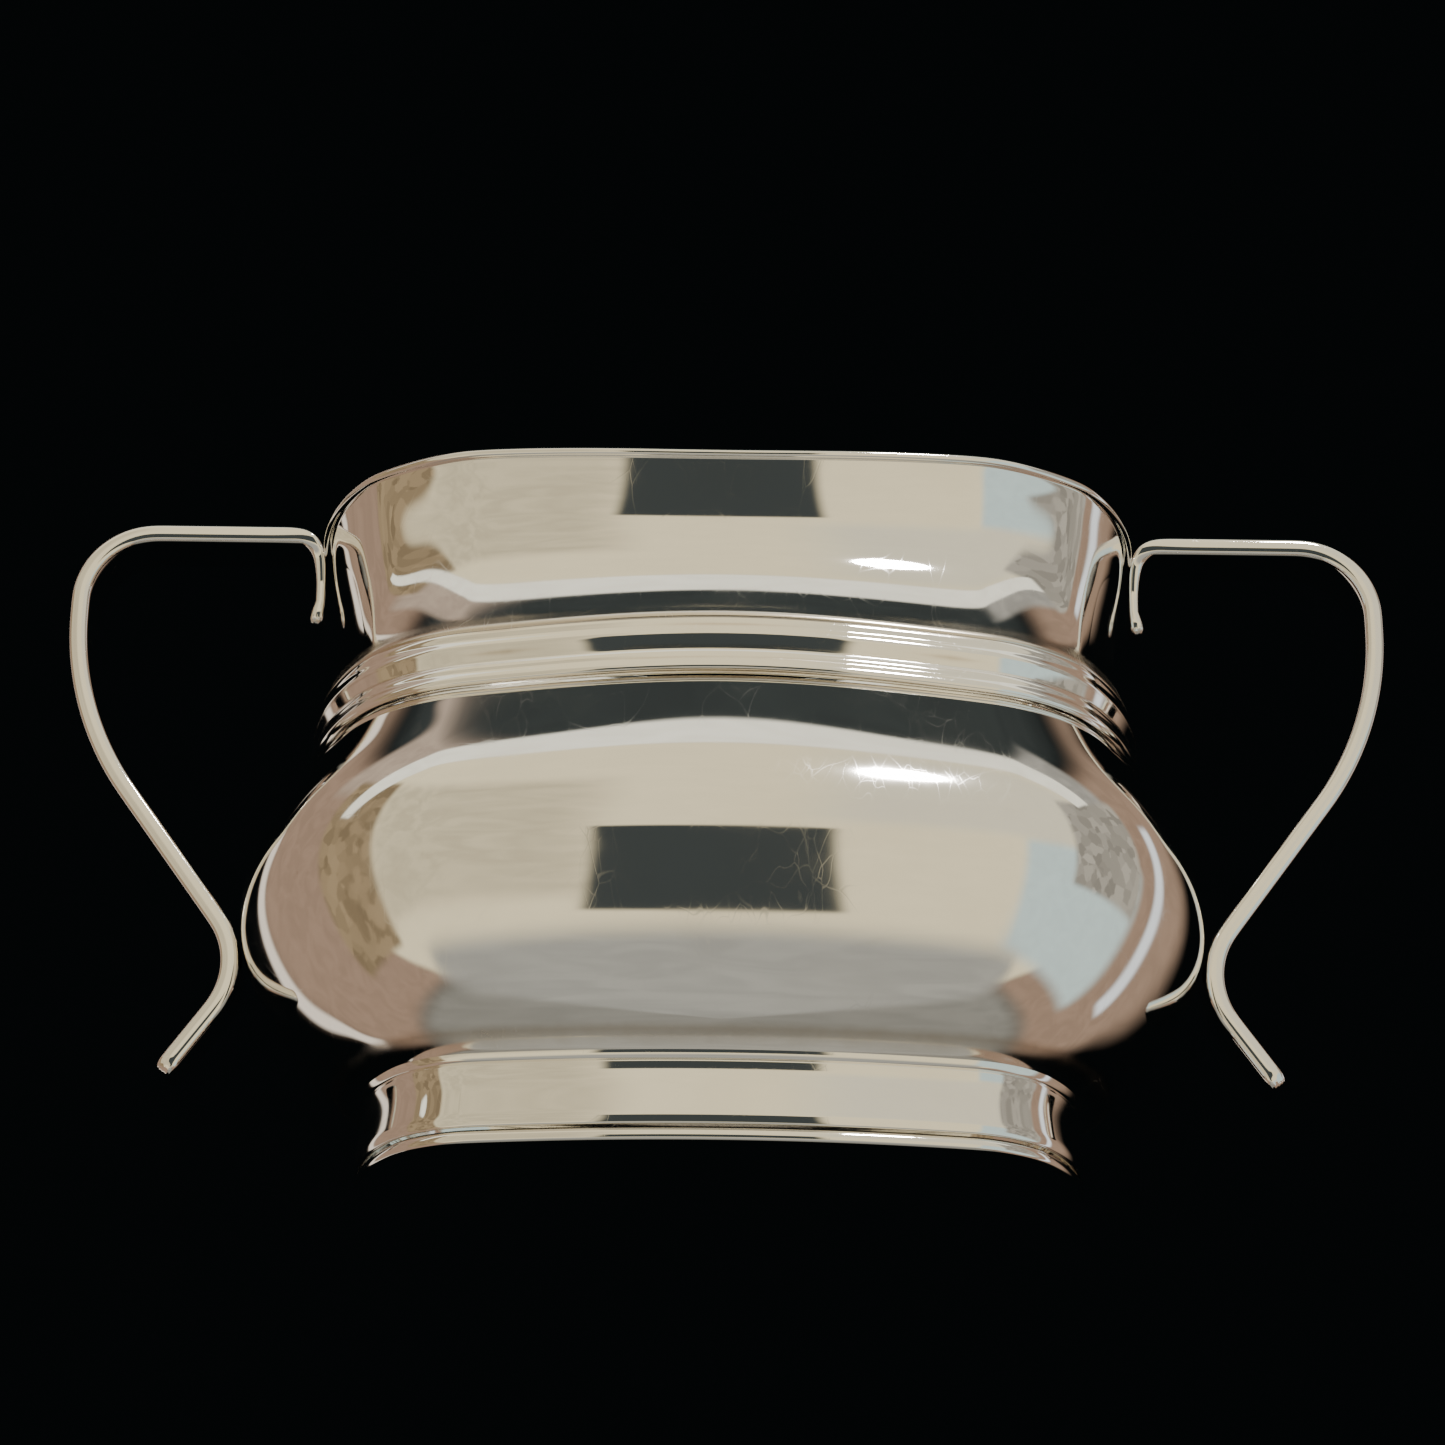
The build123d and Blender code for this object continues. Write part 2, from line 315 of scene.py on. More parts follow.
def share_of(value: float) -> float:
    """Return a value held between 0 and 1."""
    return min(1.0, max(0.0, value))


def in_millimetres(pairs: Profile) -> list[Vector]:
    """Return points for (out, z) pairs that are given in millimetres."""
    return [Vector((out * MM, 0, z * MM)) for out, z in pairs]


@dataclass(frozen=True)
class PlanOutline:
    """The rounded oblong that the bowl follows, measured at its neck.

    It is twelve arcs that meet tangentially: two long sides, two ends and the four
    corners between them.
    """

    half_length: float = 45.3 * MM
    half_width: float = 33.0 * MM
    side_radius: float = 128.0 * MM
    end_radius: float = 42.0 * MM
    corner_radius: float = 18.0 * MM
    neck_droop: float = 1.3 * MM  # how far the neck sinks towards its corners and ends
    neck_low: float = 51.4 * MM
    neck_high: float = 58.2 * MM
    droop_width: float = 24.0 * MM
    fade_below: float = 19.0 * MM
    fade_above: float = 20.0 * MM

    def droop(self, x: float, z: float) -> float:
        """Return how far a place sinks; the neck is highest in the middle of a long side.

        Args:
            x: the place along the bowl.
            z: its level.

        Returns:
            The distance downwards.
        """
        below = share_of(1 - (self.neck_low - z) / self.fade_below)
        above = share_of(1 - (z - self.neck_high) / self.fade_above)
        level = min(below, above)
        off_middle = 1 - exp(-((x / self.droop_width) ** 2))
        return self.neck_droop * level * level * (3 - 2 * level) * off_middle

    def arcs(self) -> list[tuple[float, Vector, float]]:
        """Return one quarter's arcs as (angle where the arc ends, centre, radius)."""
        end = Vector((self.half_length - self.end_radius, 0, 0))
        side = Vector((0, self.half_width - self.side_radius, 0))
        to_end = self.end_radius - self.corner_radius
        to_side = self.side_radius - self.corner_radius
        span = hypot(end.x, side.y)
        turn = acos((to_end**2 + span**2 - to_side**2) / (2 * to_end * span))
        end_angle = atan2(side.y, -end.x) + turn
        corner = end + to_end * Vector((cos(end_angle), sin(end_angle), 0))
        side_angle = atan2(corner.y - side.y, corner.x)
        return [
            (end_angle, end, self.end_radius),
            (side_angle, corner, self.corner_radius),
            (pi / 2, side, self.side_radius),
        ]

    def carry(self, shape: bmesh.types.BMesh) -> None:
        """Carry a turned shape onto the outline; each column moves as one.

        Args:
            shape: a shape turned about Z, whose neck stands at the half length.
        """
        arcs = self.arcs()
        for vert in shape.verts:
            angle = atan2(abs(vert.co.y), abs(vert.co.x))
            _, centre, radius = next((a for a in arcs if angle <= a[0] + 1e-6), arcs[-1])
            away = Vector((cos(angle), sin(angle), 0))
            shift = centre + (radius - self.half_length) * away
            vert.co.x += shift.x * (1 if vert.co.x >= 0 else -1)
            vert.co.y += shift.y * (1 if vert.co.y >= 0 else -1)
            vert.co.z -= self.droop(vert.co.x, vert.co.z)


OUTLINE = PlanOutline()


def fair_line(points: Profile, start: tuple, end: tuple, count: int) -> list[Vector]:
    """Draw a fair curve through points, with a given direction at each end.

    Args:
        points: (out, z) points that the curve passes through.
        start: its direction at the first point.
        end: its direction at the last point.
        count: how many points to return, evenly spaced along the curve.

    Returns:
        Points along the curve, as (out, 0, z).
    """
    knots = np.array(points, float)
    chords = np.hypot(*np.diff(knots, axis=0).T)
    t = np.concatenate([[0.0], np.cumsum(chords)])
    n = len(knots)
    rows, sides = np.zeros((n, n)), np.zeros((n, 2))
    rows[0, 0] = rows[-1, -1] = 1.0
    sides[0] = np.array(start) / hypot(*start)
    sides[-1] = np.array(end) / hypot(*end)
    for i in range(1, n - 1):
        before, after = chords[i - 1], chords[i]
        rows[i, i - 1 : i + 2] = after, 2 * (before + after), before
        sides[i] = 3 * (
            after / before * (knots[i] - knots[i - 1]) + before / after * (knots[i + 1] - knots[i])
        )
    slopes = np.linalg.solve(rows, sides)
    dense = []
    for i in range(n - 1):
        for u in np.linspace(0, 1, 60, endpoint=False):
            h = chords[i]
            dense.append(
                (1 + 2 * u) * (1 - u) ** 2 * knots[i]
                + u * (1 - u) ** 2 * h * slopes[i]
                + u * u * (3 - 2 * u) * knots[i + 1]
                - u * u * (1 - u) * h * slopes[i + 1]
            )
    dense = np.array([*dense, knots[-1]])
    run = np.concatenate([[0.0], np.cumsum(np.hypot(*np.diff(dense, axis=0).T))])
    wanted = np.linspace(0, run[-1], count)
    return [Vector((np.interp(w, run, dense[:, 0]), 0, np.interp(w, run, dense[:, 1]))) for w in wanted]


def turned(points: list[Vector], columns: int, closed: bool) -> bmesh.types.BMesh:
    """Turn a profile about Z, at the half length of the plan.

    Args:
        points: the profile's points as (out, 0, z).
        columns: how many columns the turn has.
        closed: whether the profile is a closed loop.

    Returns:
        The turned shape.
    """
    shape = bmesh.new()
    verts = [shape.verts.new((OUTLINE.half_length + p.x, 0, p.z)) for p in points]
    chain = list(zip(verts, verts[1:])) + ([(verts[-1], verts[0])] if closed else [])
    edges = [shape.edges.new(pair) for pair in chain]
    bmesh.ops.spin(
        shape, geom=verts + edges, cent=(0, 0, 0), axis=(0, 0, 1), angle=FULL_TURN,
        steps=columns, use_merge=True,
    )
    bmesh.ops.remove_doubles(shape, verts=shape.verts, dist=MERGE)
    return shape


def finished(
    name: str, shape: bmesh.types.BMesh, hollow: Callable[[Vector], float] | None = None
) -> bpy.types.Object:
    """Make a bmesh an object at the origin, smooth, with its hollows marked.

    Args:
        name: the piece's name.
        shape: its mesh, already in place.
        hollow: how far a point lies in a hollow, 0 to 1; the finish paints shade there.

    Returns:
        The new object, linked to the scene.
    """
    bmesh.ops.remove_doubles(shape, verts=shape.verts, dist=MERGE)
    bmesh.ops.recalc_face_normals(shape, faces=shape.faces)
    for face in shape.faces:
        face.smooth = True
    mesh = bpy.data.meshes.new(name)
    shape.to_mesh(mesh)
    shape.free()
    marks = mesh.attributes.new("hollow", "FLOAT", "POINT")
    for vert in mesh.vertices:
        marks.data[vert.index].value = hollow(vert.co) if hollow else 0.0
    piece = bpy.data.objects.new(name, mesh)
    bpy.context.scene.collection.objects.link(piece)
    return piece


def rounded(piece: bpy.types.Object, levels: int) -> bpy.types.Object:
    """Give a piece a Subdivision Surface.

    Args:
        piece: the piece.
        levels: the surface's levels.

    Returns:
        The same piece.
    """
    smooth = piece.modifiers.new("fair", "SUBSURF")
    smooth.levels = smooth.render_levels = levels
    smooth.boundary_smooth = "PRESERVE_CORNERS"
    return piece


def walled(piece: bpy.types.Object, wall: float) -> bpy.types.Object:
    """Give a sheet its wall, inwards from its outer face.

    Args:
        piece: the sheet.
        wall: its thickness.

    Returns:
        The same piece.
    """
    wall_maker = piece.modifiers.new("wall", "SOLIDIFY")
    wall_maker.thickness = wall
    wall_maker.offset = -1.0
    wall_maker.use_even_offset = True
    return piece


def placed(piece: bpy.types.Object, node: str, slot: Slot, finish: bpy.types.Material) -> None:
    """Dress a piece, and let it stand for a node of the frame.

    Args:
        piece: the finished piece.
        node: the node of the frame that it stands for.
        slot: not used.
        finish: its material.
    """
    piece.data.materials.append(finish)
    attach(piece, "root")
    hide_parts(node)
    log.info("%s: %d faces, for %s", piece.name, len(piece.data.polygons), node)


@dataclass(frozen=True)
class Levels:
    """The heights of the bowl, read from the frame."""

    foot_wire: float
    foot_moulding: float
    foot_top: float
    belly: float
    neck: float
    collar: float
    rim_end: float

    @classmethod
    def of_frame(cls) -> "Levels":
        """Read the heights from the frame's boxes."""
        foot_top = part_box("foot_moulding")[1].z
        return cls(
            foot_wire=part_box("foot_base_wire")[1].z,
            foot_moulding=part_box("foot_moulding")[0].z,
            foot_top=foot_top,
            belly=foot_top + BELLY_RISE,
            neck=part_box("neck_ring")[0].z,
            collar=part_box("neck_ring")[1].z,
            rim_end=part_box("rim_wire")[1].z,
        )


# ---------------------------------------------------------------- body


@dataclass
class Body:
    """The raised body with its flat floor."""

    levels: Levels
    finish: bpy.types.Material
    wall: float = 0.8 * MM
    floor_drop: float = 2.2 * MM
    neck_crease: float = 1.6 * MM
    foot_crease: float = 1.2 * MM
    columns: int = 96
    rows: int = 30

    def profile(self) -> list[Vector]:
        """Return the outer face, from the floor's edge up into the neck."""
        top = self.levels.foot_top
        neck = self.levels.neck
        belly = self.levels.belly
        points = [
            (-7.0 * MM, top - self.floor_drop),
            (-0.6 * MM, top),
            (8.6 * MM, belly - 10.2 * MM),
            (11.8 * MM, belly),
            (10.1 * MM, belly + 8.4 * MM),
            (9.16 * MM, belly + 10.4 * MM),
            (7.66 * MM, belly + 13.1 * MM),
            (5.75 * MM, belly + 16.3 * MM),
            (3.7 * MM, neck - 0.1 * MM),
        ]
        return fair_line(points, (1, 0), (-0.62, 1), self.rows)

    def build(self) -> None:
        """Turn the body, lay its floor and give it its wall."""
        shape = turned(self.profile(), self.columns, closed=False)
        OUTLINE.carry(shape)
        low = min(v.co.z for v in shape.verts)
        edge = [e for e in shape.edges if e.is_boundary and e.verts[0].co.z < low + 0.1 * MM]
        bmesh.ops.holes_fill(shape, edges=edge, sides=0)
        floor = [f for f in shape.faces if len(f.verts) > 4]
        bmesh.ops.inset_region(shape, faces=floor, thickness=2 * MM, use_even_offset=True)
        body = finished("raised_body", shape, self.hollow)
        placed(rounded(walled(body, self.wall), 2), "body_shell", Slot.BODY, self.finish)

    def hollow(self, at: Vector) -> float:
        """Mark the creases under the neck and over the foot, where the finish paints shade.

        Args:
            at: a point of the body.

        Returns:
            How far it lies in a crease, from 0 to 1.
        """
        near_neck = 1 - (self.levels.neck - at.z) / self.neck_crease
        near_foot = 1 - abs(at.z - self.levels.foot_top) / self.foot_crease
        return share_of(max(near_neck, near_foot))


# ---------------------------------------------------------------- foot


@dataclass
class Foot:
    """The collet foot: a base wire, a waisted band and a top moulding."""

    levels: Levels
    finish: bpy.types.Material
    wall: float = 1.0 * MM
    crease: float = 0.9 * MM
    columns: int = 96

    def build(self) -> None:
        """Build the foot's three pieces."""
        wire, moulding, top = self.levels.foot_wire, self.levels.foot_moulding, self.levels.foot_top

        base = [(-5.6, 0.0), (-4.2, 0.0), (-3.5, 0.1), (-3.3, 0.45), (-3.3, 0.8)]
        base += [(-3.4, 1.15), (-3.65, 1.5), (-4.2, 1.8), (-5.6, 1.6)]
        shape = turned(in_millimetres(base), self.columns, closed=True)
        OUTLINE.carry(shape)
        # the top of the base wire, under the band, is marked for painted shade
        ring = finished("foot_base_ring", shape, lambda at: max(0.0, (at.z - 1.3 * MM) / (0.6 * MM)))
        placed(rounded(ring, 2), "foot_base_wire", Slot.FOOT, self.finish)

        rise = moulding - wire
        points = [
            (-3.35 * MM, wire - 0.1 * MM),
            (-3.05 * MM, wire + 0.13 * rise),
            (-3.1 * MM, wire + 0.21 * rise),
            (-3.45 * MM, wire + 0.51 * rise),
            (-3.65 * MM, wire + 0.83 * rise),
            (-3.45 * MM, moulding + 0.1 * MM),
        ]
        shape = turned(fair_line(points, (0.4, 1), (0.3, 1), 18), self.columns, closed=False)
        OUTLINE.carry(shape)
        band = finished("foot_collet", shape, lambda at: 0.0)
        placed(rounded(walled(band, self.wall), 2), "foot_band", Slot.FOOT, self.finish)

        low, high = moulding / MM, top / MM
        lip = [(-4.6, low), (-3.6, low), (-3.3, low + 0.3), (-3.0, low + 0.9)]
        lip += [(-2.75, low + 1.6), (-2.8, high - 0.3), (-3.6, high - 0.7), (-4.5, low + 0.8)]
        shape = turned(in_millimetres(lip), self.columns, closed=True)
        OUTLINE.carry(shape)
        bead = finished("foot_top_moulding", shape, self.hollow)
        placed(rounded(bead, 2), "foot_moulding", Slot.FOOT, self.finish)

    def hollow(self, at: Vector) -> float:
        """Return how far a point lies in the crease under the body, where the finish paints shade."""
        return share_of(1 - (self.levels.foot_top - at.z) / self.crease)


# ---------------------------------------------------------------- neck


@dataclass
class Neck:
    """The drawn moulding round the neck: two rolls, a flat and two rolls."""

    levels: Levels
    finish: bpy.types.Material
    valley_width: float = 0.25 * MM
    columns: int = 96

    def build(self) -> None:
        """Turn the moulding: a shallow pair of rolls, an undercut and another pair."""
        low, high = self.levels.neck / MM, self.levels.collar / MM
        middle = (low + high) / 2
        upper = [(3.9, high), (4.12, high - 0.35), (4.25, high - 0.9), (4.2, high - 1.25)]
        upper += [(4.32, high - 1.6), (4.5, high - 2.0), (4.58, middle + 0.95)]
        upper += [(4.48, middle + 0.75), (4.28, middle + 0.25)]
        lower = [(4.0, middle - 0.5), (3.94, middle - 0.7), (4.1, middle - 0.95), (4.3, middle - 1.5)]
        lower += [(4.27, middle - 1.8), (4.42, middle - 2.15), (4.64, low + 0.7)]
        lower += [(4.6, low + 0.25), (4.1, low)]
        back = [(2.0, low), (1.9, middle), (2.0, high)]
        shape = turned(in_millimetres([*upper, *lower, *back]), self.columns, closed=True)
        OUTLINE.carry(shape)
        ring = finished("neck_moulding", shape, self.hollow)
        placed(rounded(ring, 2), "neck_ring", Slot.MOULDING, self.finish)

    def hollow(self, at: Vector) -> float:
        """Mark the valleys between the rolls, where the finish paints shade.

        Args:
            at: a point of the moulding.

        Returns:
            How near it lies to a valley, from 0 to 1.
        """
        low, high = self.levels.neck, self.levels.collar
        middle = (low + high) / 2
        valleys = (low, middle - 1.9 * MM, middle - 0.6 * MM, high - 1.25 * MM, high)
        return share_of(1 - min(abs(at.z - valley) for valley in valleys) / self.valley_width)


# ---------------------------------------------------------------- collar


@dataclass
class Collar:
    """The flared collar and the wire along its dipping rim."""

    levels: Levels
    finish: bpy.types.Material
    wall: float = 0.8 * MM
    wire_height: float = 1.0 * MM
    wire_width: float = 1.5 * MM
    wire_fullness: float = 0.56
    wire_sides: int = 10
    crease: float = 1.2 * MM
    rim_low: float = 79.5 * MM
    rim_lift: float = 1.5 * MM
    dip_width: float = 23.0 * MM
    columns: int = 96
    rows: int = 16
    side_line: list[Vector] = field(default_factory=list)
    end_line: list[Vector] = field(default_factory=list)

    def __post_init__(self) -> None:
        """Draw the collar's curve over a long side's middle, and over an end."""
        foot, top = self.levels.collar, self.rim_low
        side = [
            (4.5 * MM, foot - 0.2 * MM),
            (2.5 * MM, foot + 2.7 * MM),
            (0.55 * MM, foot + 6.4 * MM),
            (-0.8 * MM, foot + 12.0 * MM),
            (-0.5 * MM, foot + 15.0 * MM),
            (2.3 * MM, top),
        ]
        end = [
            (4.2 * MM, foot - 0.2 * MM),
            (2.8 * MM, foot + 3.0 * MM),
            (2.2 * MM, foot + 7.4 * MM),
            (2.4 * MM, foot + 11.4 * MM),
            (3.5 * MM, foot + 17.4 * MM),
            (4.3 * MM, top),
        ]
        self.side_line = fair_line(side, (-0.8, 1), (0.7, 1), 200)
        self.end_line = fair_line(end, (-0.6, 1), (0.4, 1), 200)

    def out_at(self, z: float, end_share: float) -> float:
        """Return how far the outer face stands out.

        Args:
            z: the level, before the rim's lift.
            end_share: 0 at the middle of a long side, 1 at an end.

        Returns:
            The distance outside the neck's outline.
        """
        side, end = (
            float(np.interp(z, [p.z for p in line], [p.x for p in line]))
            for line in (self.side_line, self.end_line)
        )
        return side + (end - side) * end_share

    def flare(self, shape: bmesh.types.BMesh) -> None:
        """Let a turned shape change from the side's curve to the end's, column by column.

        Args:
            shape: a shape turned from the side's curve, not yet on the outline.
        """
        for vert in shape.verts:
            radial = Vector((vert.co.x, vert.co.y, 0)).normalized()
            share = radial.x**4 / (radial.x**4 + (1.3 * radial.y) ** 4)
            level = min(vert.co.z, self.rim_low)
            vert.co += radial * (self.out_at(level, share) - self.out_at(level, 0.0))

    def lifted(self, shape: bmesh.types.BMesh) -> None:
        """Lift a carried shape towards its corners and ends, in full at the rim.

        Args:
            shape: a shape already on the outline.
        """
        foot = self.levels.collar
        for vert in shape.verts:
            share = share_of((vert.co.z - foot) / (self.rim_low - foot))
            off_middle = 1 - exp(-((vert.co.x / self.dip_width) ** 2))
            vert.co.z += share * self.rim_lift * off_middle

    def build(self) -> None:
        """Build the collar and its rim wire."""
        foot, top = self.levels.collar, self.rim_low
        heights = np.linspace(foot - 0.15 * MM, top - 0.3 * MM, self.rows)
        points = [Vector((self.out_at(z, 0.0), 0, z)) for z in heights]
        shape = turned(points, self.columns, closed=False)
        self.flare(shape)
        OUTLINE.carry(shape)
        self.lifted(shape)
        collar = finished("flared_collar", shape, self.hollow)
        placed(rounded(walled(collar, self.wall), 2), "collar", Slot.COLLAR, self.finish)

        middle = Vector((self.out_at(top, 0.0) - self.wall / 2, 0, top - self.wire_height / 2))
        loop = []
        for step in range(self.wire_sides):
            turn = FULL_TURN * step / self.wire_sides
            across = self.wire_width / 2 * cos(turn)
            up = self.wire_fullness * self.wire_height * sin(turn)
            loop.append(middle + Vector((across, 0, up)))
        shape = turned(loop, self.columns, closed=True)
        self.flare(shape)
        OUTLINE.carry(shape)
        self.lifted(shape)
        wire = finished("rim_bead", shape, lambda at: 0.0)
        placed(rounded(wire, 2), "rim_wire", Slot.COLLAR, self.finish)

    def hollow(self, at: Vector) -> float:
        """Return how far a point lies in the crease over the neck moulding, where the finish paints
        shade.
        """
        return share_of(1 - (at.z - self.levels.collar) / self.crease)


# ---------------------------------------------------------------- handles


@dataclass
class StrapHandle:
    """A strap bent into a handle, soldered at the rim's end and at the body's end."""

    levels: Levels
    finish: bpy.types.Material
    side: int
    thickness: float = 2.6 * MM
    width_top: float = 9.0 * MM
    width_low: float = 7.2 * MM
    rise: float = 1.9 * MM
    spur_thickness: float = 1.3 * MM
    spur_drop: float = 11.0 * MM
    spur_bend: float = 2.4 * MM
    spur_narrowing: float = 0.55
    nub_size: float = 1.5 * MM
    grip_reach: float = 22.3 * MM
    grip_bend: float = 8.9 * MM
    waist_drop: float = 23.5 * MM
    waist_bend: float = 38.0 * MM
    touch_in: float = 0.9 * MM
    touch_drop: float = 4.4 * MM
    touch_bend: float = 9.5 * MM
    tail_reach: float = 8.2 * MM
    tail_drop: float = 17.8 * MM
    run_step: float = 2.5 * MM
    bend_step: float = 1.2 * MM

    def corners(self) -> list[tuple[Vector, float]]:
        """Return the bent line's corners, each with its bend radius."""
        body_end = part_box("body_shell")[1].x
        level = self.levels.rim_end + self.rise
        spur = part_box("right_handle")[0].x + self.thickness / 2
        grip = body_end + self.grip_reach
        touch_x = body_end - self.touch_in + self.thickness / 2
        touch_z = self.levels.belly - self.touch_drop
        tail_x, tail_z = body_end + self.tail_reach, self.levels.belly - self.tail_drop
        waist_z = level - self.waist_drop
        coming_in = atan2(grip - touch_x, waist_z - touch_z)
        going_out = atan2(tail_x - touch_x, touch_z - tail_z)
        rounded_off = self.touch_bend * (1 / cos((coming_in + going_out) / 2) - 1)
        spots = [
            (spur + 0.2 * MM, level - self.spur_drop, 0.0),
            (spur, level - 8.0 * MM, 3.0 * MM),
            (spur, level, self.spur_bend),
            (grip, level, self.grip_bend),
            (grip, waist_z, self.waist_bend),
            (touch_x - rounded_off, touch_z, self.touch_bend),
            (tail_x, tail_z, 0.0),
        ]
        return [(Vector((x, 0, z)), bend) for x, z, bend in spots]

    def section(self, shape: bmesh.types.BMesh, at: Vector, along: Vector) -> list[bmesh.types.BMFace]:
        """Lay the strap's section across the start of its line.

        Args:
            shape: the mesh to lay it in.
            at: the section's centre.
            along: the line's direction there.

        Returns:
            The section's one face.
        """
        made = bmesh.ops.create_circle(shape, cap_ends=True, radius=0.5, segments=20)
        outwards = Vector((along.z, 0, -along.x))
        for vert in made["verts"]:
            x, y = vert.co.x * 2, vert.co.y * 2
            across = (abs(y) ** 0.55) * (1 if y > 0 else -1)
            deep = (abs(x) ** 0.38) * (1 if x > 0 else -1)
            sideways = Vector((0, across * self.width_low / 2, 0))
            vert.co = at + outwards * deep * self.thickness / 2 + sideways
        return list({f for v in made["verts"] for f in v.link_faces})

    def build(self) -> None:
        """Draw the strap along its bent line."""
        corners = self.corners()
        shape = bmesh.new()
        at = corners[0][0]
        along = (corners[1][0] - at).normalized()
        face = self.section(shape, at, along)
        rings = 0

        def step_on(move: Vector | None, centre: Vector | None, turn: float) -> None:
            """Extrude the strap's end by one step, straight on or round a bend.

            Args:
                move: the step of a straight run.
                centre: the centre of a bend, or None on a straight run.
                turn: the angle of the step round the bend.
            """
            nonlocal face, rings
            made = bmesh.ops.extrude_face_region(shape, geom=face)
            fresh = [g for g in made["geom"] if isinstance(g, bmesh.types.BMVert)]
            old = face
            face = [g for g in made["geom"] if isinstance(g, bmesh.types.BMFace)]
            if rings:
                bmesh.ops.delete(shape, geom=old, context="FACES_ONLY")
            rings += 1
            if centre is None:
                bmesh.ops.translate(shape, verts=fresh, vec=move)
            else:
                bend_turn = Matrix.Rotation(turn, 3, "Y")
                bmesh.ops.rotate(shape, verts=fresh, cent=centre, matrix=bend_turn)

        for index in range(1, len(corners)):
            spot, bend = corners[index]
            way = (spot - at).normalized()
            if index == len(corners) - 1:
                run = (spot - at).length
                centre = None
            else:
                onward = (corners[index + 1][0] - spot).normalized()
                turn = way.cross(onward).y
                angle = way.angle(onward)
                back = bend * tan(angle / 2)
                run = (spot - at).length - back
                sign = 1 if turn > 0 else -1
                inward = Vector((way.z, 0, -way.x)) * sign
                centre = spot - way * back + inward * bend
            pieces_of_run = max(1, round(run / self.run_step))
            for _ in range(pieces_of_run):
                step_on(way * run / pieces_of_run, None, 0.0)
            if centre is not None:
                steps = max(2, round(angle * bend / self.bend_step))
                for _ in range(steps):
                    step_on(None, centre, sign * angle / steps)
                at = spot + onward * back
        level = self.levels.rim_end + self.rise
        spur, tip_z = corners[2][0].x, corners[0][0].z
        for vert in shape.verts:
            share = share_of(vert.co.z / level)
            vert.co.y *= 1 + share * (self.width_top / self.width_low - 1)
            if vert.co.x < spur + self.thickness and vert.co.z > tip_z - 3 * MM:
                inner = spur - self.thickness / 2
                thin = share_of((level - 0.8 * MM - vert.co.z) / (2.5 * MM))
                nub = max(0.0, 1 - ((vert.co.z - tip_z - 0.9 * MM) / self.nub_size) ** 2)
                factor = 1 - thin * (1 - self.spur_thickness / self.thickness) * (1 - 0.85 * nub)
                vert.co.x = inner + (vert.co.x - inner) * factor
                vert.co.y *= 1 - self.spur_narrowing * thin * (1 - 0.2 * nub)
            vert.co.x *= self.side
        name = "right" if self.side > 0 else "left"
        handle = finished(f"strap_handle_{name}", shape, lambda at: 0.0)
        placed(rounded(handle, 2), f"{name}_handle", Slot.HANDLE, self.finish)


# ---------------------------------------------------------------- studio


@dataclass(frozen=True)
class Panel:
    """A soft-edged field of the room around the bowl, in degrees.

    Azimuth 0 is the front of the bowl, and it grows towards the right-hand handle. A
    hung panel is measured as one bent over the bowl from front to back: its first
    range is the lean to the side, and its second the pitch up from the front.
    """

    azimuth: tuple[float, float]
    elevation: tuple[float, float]
    colour: tuple[float, float, float]
    soft: float = 2.0
    mottle: float = 0.0
    blocks: bool = False
    hung: bool = False


ROOM_DARK = (0.0020, 0.0028, 0.0030)
ROOM = (
    Panel((-200, 200), (58, 100), (0.046, 0.054, 0.052), 8.0, 0.3),
    Panel((-134, 134), (-60, 52), (0.40, 0.275, 0.195), 6.0, 0.25),
    Panel((-106, -58), (40, 71), (0.56, 0.44, 0.34), 4.0, 0.35),
    Panel((56, 96), (30, 66), (0.44, 0.42, 0.37), 4.0, 0.35),
    Panel((-66, 62), (-66, 71), (1.04, 0.91, 0.60), 2.0, 0.06, hung=True),
    Panel((-62, -14), (-30, 44), (0.78, 0.68, 0.455), 5.0, 0.30),
    Panel((10, 60), (14, 69), (0.88, 0.81, 0.61), 6.0, 0.05, hung=True),
    Panel((-92, -62), (-38, 46), (0.42, 0.31, 0.18), 2.0, 0.85, True),
    Panel((38, 100), (-44, 10), (0.68, 0.83, 0.80), 4.0, 0.12),
    Panel((62, 100), (-10, 40), (0.52, 0.48, 0.40), 2.0, 0.85, True),
    Panel((-62, 50), (70, 81.5), (1.25, 1.21, 1.02), 0.8, 0.18, hung=True),
    Panel((-200, 200), (-100, -60), (0.30, 0.29, 0.25), 6.0, 0.25),
    Panel((-50, 50), (-90, -44), (0.44, 0.43, 0.38), 6.0, 0.25),
    Panel((-13.5, 11.5), (-38, 8), (0.052, 0.060, 0.058), 1.0, hung=True),
    Panel((-137, -132), (-40, 60), (1.00, 0.88, 0.74), 1.2),
    Panel((112, 119), (-30, 30), (1.00, 1.05, 1.08), 2.0),
)


